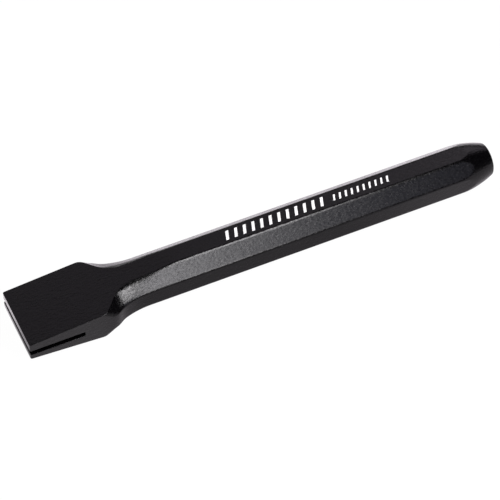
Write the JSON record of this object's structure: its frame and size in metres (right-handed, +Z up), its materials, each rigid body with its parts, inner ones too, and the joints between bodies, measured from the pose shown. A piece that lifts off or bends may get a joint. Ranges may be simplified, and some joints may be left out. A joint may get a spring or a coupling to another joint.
{
  "type": "scutch chisel",
  "caption": "Black forged scutch chisel: octagonal bar, flat tapered head with an open slot across the tip for a comb, and a turned end for the hammer.",
  "frame": {"origin": "under the middle of the tool's length and width, on the surface it lies on", "axes": "+X along the bar from the slotted tip to the struck end, +Y across the head, +Z up out of the printed flat"},
  "size_m": [0.203, 0.0286, 0.0191],
  "materials": {
    "black_steel": "black satin-gloss lacquer over forged steel",
    "white_ink": "matt white print"
  },
  "bodies": {
    "root": {"shank": "black_steel", "upper_jaw": "black_steel", "lower_jaw": "black_steel", "printed_mark": "white_ink"}
  },
  "joints": []
}
